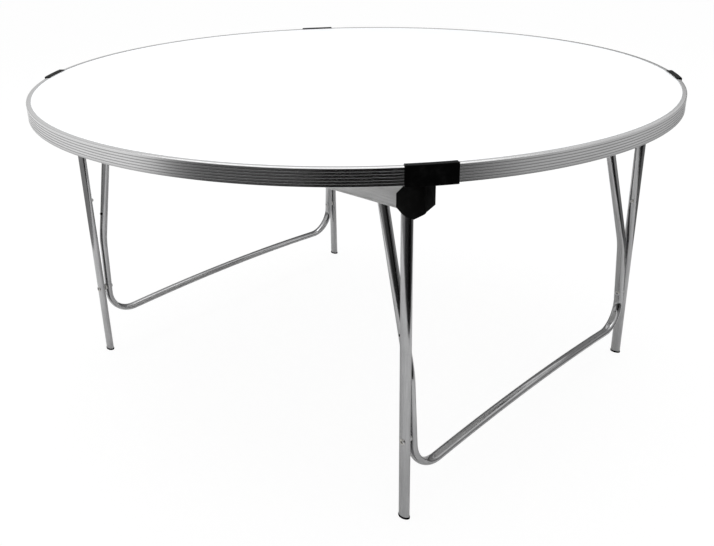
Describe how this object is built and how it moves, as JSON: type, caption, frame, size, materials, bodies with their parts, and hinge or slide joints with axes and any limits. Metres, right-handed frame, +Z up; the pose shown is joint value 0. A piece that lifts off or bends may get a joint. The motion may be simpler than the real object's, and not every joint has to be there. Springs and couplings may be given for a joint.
{
  "type": "round folding table",
  "caption": "Round table with a white laminated top, fluted aluminium rim, black rim clips and leg sockets, and oval tube leg frames with bent braces that fold flat.",
  "frame": {"origin": "on the floor under the middle of the round top", "axes": "+Z up, +X towards the right hand leg frame, -Y the front; both leg frames fold about axes along Y"},
  "size_m": [1.52, 1.5198, 0.7671],
  "materials": {
    "white_laminate": "satin white laminate",
    "board_core": "plywood core",
    "balancing_sheet": "pale balancing laminate",
    "fluted_aluminium": "satin anodised extrusion",
    "rail_aluminium": "matt mill finish",
    "black_moulding": "black nylon",
    "bright_tube": "bright plated steel tube",
    "zinc_steel": "zinc plated",
    "black_rubber": "black rubber"
  },
  "bodies": {
    "table": {"brace_bracket_left_back": "zinc_steel", "brace_bracket_left_front": "zinc_steel", "brace_bracket_right_back": "zinc_steel", "brace_bracket_right_front": "zinc_steel", "bracket_screws": "zinc_steel", "leg_socket_left_back": "black_moulding", "leg_socket_left_front": "black_moulding", "leg_socket_right_back": "black_moulding", "leg_socket_right_front": "black_moulding", "pivot_pins": "zinc_steel", "pivot_washers": "zinc_steel", "rail_screws": "zinc_steel", "rim_back": "fluted_aluminium", "rim_clip_left_back": "black_moulding", "rim_clip_left_front": "black_moulding", "rim_clip_right_back": "black_moulding", "rim_clip_right_front": "black_moulding", "rim_front": "fluted_aluminium", "rim_left": "fluted_aluminium", "rim_right": "fluted_aluminium", "side_rail_back": "rail_aluminium", "side_rail_front": "rail_aluminium", "socket_screws": "zinc_steel", "top_core": "board_core", "top_laminate": "white_laminate", "underside_sheet": "balancing_sheet"},
    "brace_right": {"u_brace_right": "bright_tube", "pivot_bushes_right": "black_moulding", "leg_rivets_right": "zinc_steel", "rivet_spacers_right": "zinc_steel", "brace_buttons_right": "black_rubber"},
    "leg_right_front": {"leg_tube_right_front": "bright_tube", "leg_shoe_right_front": "black_moulding", "foot_cap_right_front": "black_rubber", "leg_button_right_front": "zinc_steel"},
    "leg_right_back": {"leg_tube_right_back": "bright_tube", "leg_shoe_right_back": "black_moulding", "foot_cap_right_back": "black_rubber", "leg_button_right_back": "zinc_steel"},
    "brace_left": {"u_brace_left": "bright_tube", "pivot_bushes_left": "black_moulding", "leg_rivets_left": "zinc_steel", "rivet_spacers_left": "zinc_steel", "brace_buttons_left": "black_rubber"},
    "leg_left_front": {"leg_tube_left_front": "bright_tube", "leg_shoe_left_front": "black_moulding", "foot_cap_left_front": "black_rubber", "leg_button_left_front": "zinc_steel"},
    "leg_left_back": {"leg_tube_left_back": "bright_tube", "leg_shoe_left_back": "black_moulding", "foot_cap_left_back": "black_rubber", "leg_button_left_back": "zinc_steel"}
  },
  "joints": [
    {"name": "frame_fold_right", "type": "hinge", "parent": "table", "child": "brace_right", "pos_m": [0.443, 0, 0.699], "axis": [0, 1, 0], "range_deg": [0, 96]},
    {"name": "leg_swing_right_front", "type": "hinge", "parent": "brace_right", "child": "leg_right_front", "pos_m": [0.53751, -0.45697, 0.188], "axis": [0, -1, 0], "range_deg": [0, 10.5]},
    {"name": "leg_swing_right_back", "type": "hinge", "parent": "brace_right", "child": "leg_right_back", "pos_m": [0.53751, 0.45697, 0.188], "axis": [0, -1, 0], "range_deg": [0, 10.5]},
    {"name": "frame_fold_left", "type": "hinge", "parent": "table", "child": "brace_left", "pos_m": [-0.443, 0, 0.699], "axis": [0, -1, 0], "range_deg": [0, 102]},
    {"name": "leg_swing_left_front", "type": "hinge", "parent": "brace_left", "child": "leg_left_front", "pos_m": [-0.53751, -0.45697, 0.188], "axis": [0, 1, 0], "range_deg": [0, 10.5]},
    {"name": "leg_swing_left_back", "type": "hinge", "parent": "brace_left", "child": "leg_left_back", "pos_m": [-0.53751, 0.45697, 0.188], "axis": [0, 1, 0], "range_deg": [0, 10.5]}
  ],
  "couplings": [
    {"joint": "leg_swing_right_front", "follows": "frame_fold_right", "ratio": 0.10914},
    {"joint": "leg_swing_right_back", "follows": "frame_fold_right", "ratio": 0.10914},
    {"joint": "leg_swing_left_front", "follows": "frame_fold_left", "ratio": 0.10272},
    {"joint": "leg_swing_left_back", "follows": "frame_fold_left", "ratio": 0.10272}
  ]
}
